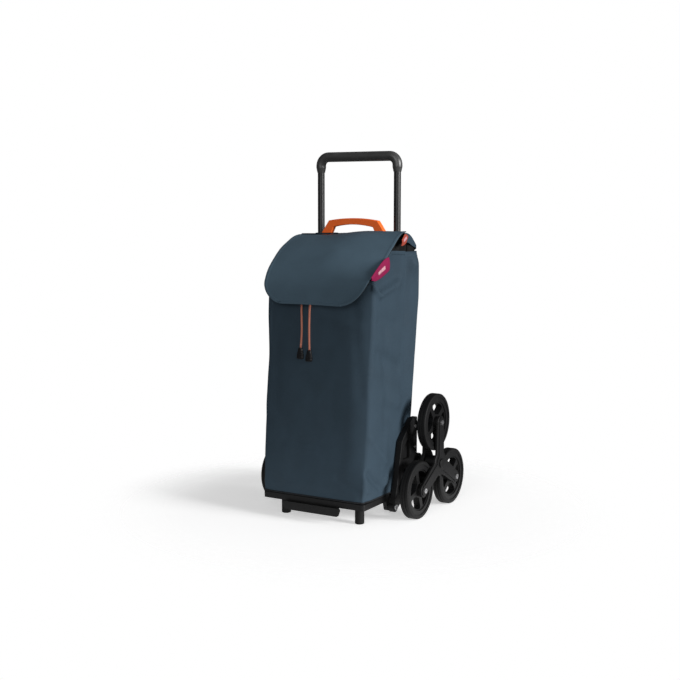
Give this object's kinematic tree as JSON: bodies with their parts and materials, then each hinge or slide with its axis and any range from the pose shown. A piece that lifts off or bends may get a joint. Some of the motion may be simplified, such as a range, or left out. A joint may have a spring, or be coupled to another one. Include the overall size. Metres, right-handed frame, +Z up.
{
  "type": "folding shopping trolley",
  "caption": "Fabric shopping trolley on a black tube frame, with a flap lid, drawcords, a base that folds up and stair-climbing wheel stars.",
  "frame": {"origin": "on the floor, at the middle of the outline seen from above (without the cord tails)", "axes": "+Z up, -Y towards the front with the feet and toe plate, +X to the right seen from the front"},
  "size_m": [0.518, 0.478, 1.02],
  "materials": {
    "black_tube": "satin black powder coat",
    "black_grip": "matt black soft sleeve",
    "black_plastic": "fine-grained black moulding",
    "steel": "zinc plated",
    "foot_rubber": "matt black",
    "bag_cloth": "coated slate-blue polyester, slight sheen",
    "collar_cloth": "thin black nylon",
    "inner_board": "dark hollow-core sheet",
    "orange_plastic": "satin orange",
    "magenta_cloth": "woven tab",
    "orange_cloth": "woven tab",
    "cord": "braided cord",
    "cord_end": "black",
    "tyre": "matt black",
    "rim_plastic": "satin black"
  },
  "bodies": {
    "frame": {"axle_cap_left": "black_plastic", "axle_cap_right": "black_plastic", "axle_housing": "black_plastic", "axle_spacer_left": "black_plastic", "axle_spacer_right": "black_plastic", "back_board": "inner_board", "bag_body": "bag_cloth", "bag_sleeve": "bag_cloth", "base_hinge_pin_left": "steel", "base_hinge_pin_right": "steel", "bracket_screws_left": "steel", "bracket_screws_right": "steel", "carry_handle": "orange_plastic", "carry_handle_screws": "steel", "cord_end_left": "cord_end", "cord_end_right": "cord_end", "cord_eyelets": "steel", "drawcord_left": "cord", "drawcord_right": "cord", "drawstring_collar": "collar_cloth", "floor_board_rear": "inner_board", "handle_frame": "black_tube", "handle_grip": "black_grip", "main_axle": "steel", "rear_shelf": "black_plastic", "ridge_tab": "orange_cloth", "side_bracket_left": "black_plastic", "side_bracket_right": "black_plastic", "top_panel": "bag_cloth", "upper_crossbar": "black_plastic"},
    "star_right": {"star_outer_plate_right": "black_plastic", "star_inner_plate_right": "black_plastic", "star_hub_right": "black_plastic", "wheel_bolts_right": "steel", "wheel_nuts_right": "steel"},
    "wheel_top_right": {"tyre_top_right": "tyre", "rim_top_right": "rim_plastic"},
    "wheel_front_right": {"tyre_front_right": "tyre", "rim_front_right": "rim_plastic"},
    "wheel_rear_right": {"tyre_rear_right": "tyre", "rim_rear_right": "rim_plastic"},
    "star_left": {"star_outer_plate_left": "black_plastic", "star_inner_plate_left": "black_plastic", "star_hub_left": "black_plastic", "wheel_bolts_left": "steel", "wheel_nuts_left": "steel"},
    "wheel_top_left": {"tyre_top_left": "tyre", "rim_top_left": "rim_plastic"},
    "wheel_front_left": {"tyre_front_left": "tyre", "rim_front_left": "rim_plastic"},
    "wheel_rear_left": {"tyre_rear_left": "tyre", "rim_rear_left": "rim_plastic"},
    "base": {"base_platform": "black_plastic", "toe_plate": "black_plastic", "foot_legs": "black_tube", "foot_cap_left": "foot_rubber", "foot_cap_right": "foot_rubber", "floor_board_front": "inner_board"},
    "flap": {"flap": "bag_cloth", "edge_tab": "magenta_cloth"}
  },
  "joints": [
    {"name": "star_spin_right", "type": "hinge", "parent": "frame", "child": "star_right", "pos_m": [0.229, 0.05624, 0.13975], "axis": [1, 0, 0], "continuous": true},
    {"name": "wheel_spin_top_right", "type": "hinge", "parent": "star_right", "child": "wheel_top_right", "pos_m": [0.229, 0.05624, 0.25725], "axis": [1, 0, 0], "continuous": true},
    {"name": "wheel_spin_front_right", "type": "hinge", "parent": "star_right", "child": "wheel_front_right", "pos_m": [0.229, -0.04552, 0.081], "axis": [1, 0, 0], "continuous": true},
    {"name": "wheel_spin_rear_right", "type": "hinge", "parent": "star_right", "child": "wheel_rear_right", "pos_m": [0.229, 0.158, 0.081], "axis": [1, 0, 0], "continuous": true},
    {"name": "star_spin_left", "type": "hinge", "parent": "frame", "child": "star_left", "pos_m": [-0.229, 0.05624, 0.13975], "axis": [1, 0, 0], "continuous": true},
    {"name": "wheel_spin_top_left", "type": "hinge", "parent": "star_left", "child": "wheel_top_left", "pos_m": [-0.229, 0.05624, 0.25725], "axis": [1, 0, 0], "continuous": true},
    {"name": "wheel_spin_front_left", "type": "hinge", "parent": "star_left", "child": "wheel_front_left", "pos_m": [-0.229, -0.04552, 0.081], "axis": [1, 0, 0], "continuous": true},
    {"name": "wheel_spin_rear_left", "type": "hinge", "parent": "star_left", "child": "wheel_rear_left", "pos_m": [-0.229, 0.158, 0.081], "axis": [1, 0, 0], "continuous": true},
    {"name": "base_fold", "type": "hinge", "parent": "frame", "child": "base", "pos_m": [0, -0.085, 0.034], "axis": [-1, 0, 0], "range_deg": [0, 85], "deforming": ["bag_body"]},
    {"name": "flap_open", "type": "hinge", "parent": "frame", "child": "flap", "pos_m": [0, -0.017, 0.79], "axis": [-1, 0, 0], "range_deg": [0, 95]}
  ]
}
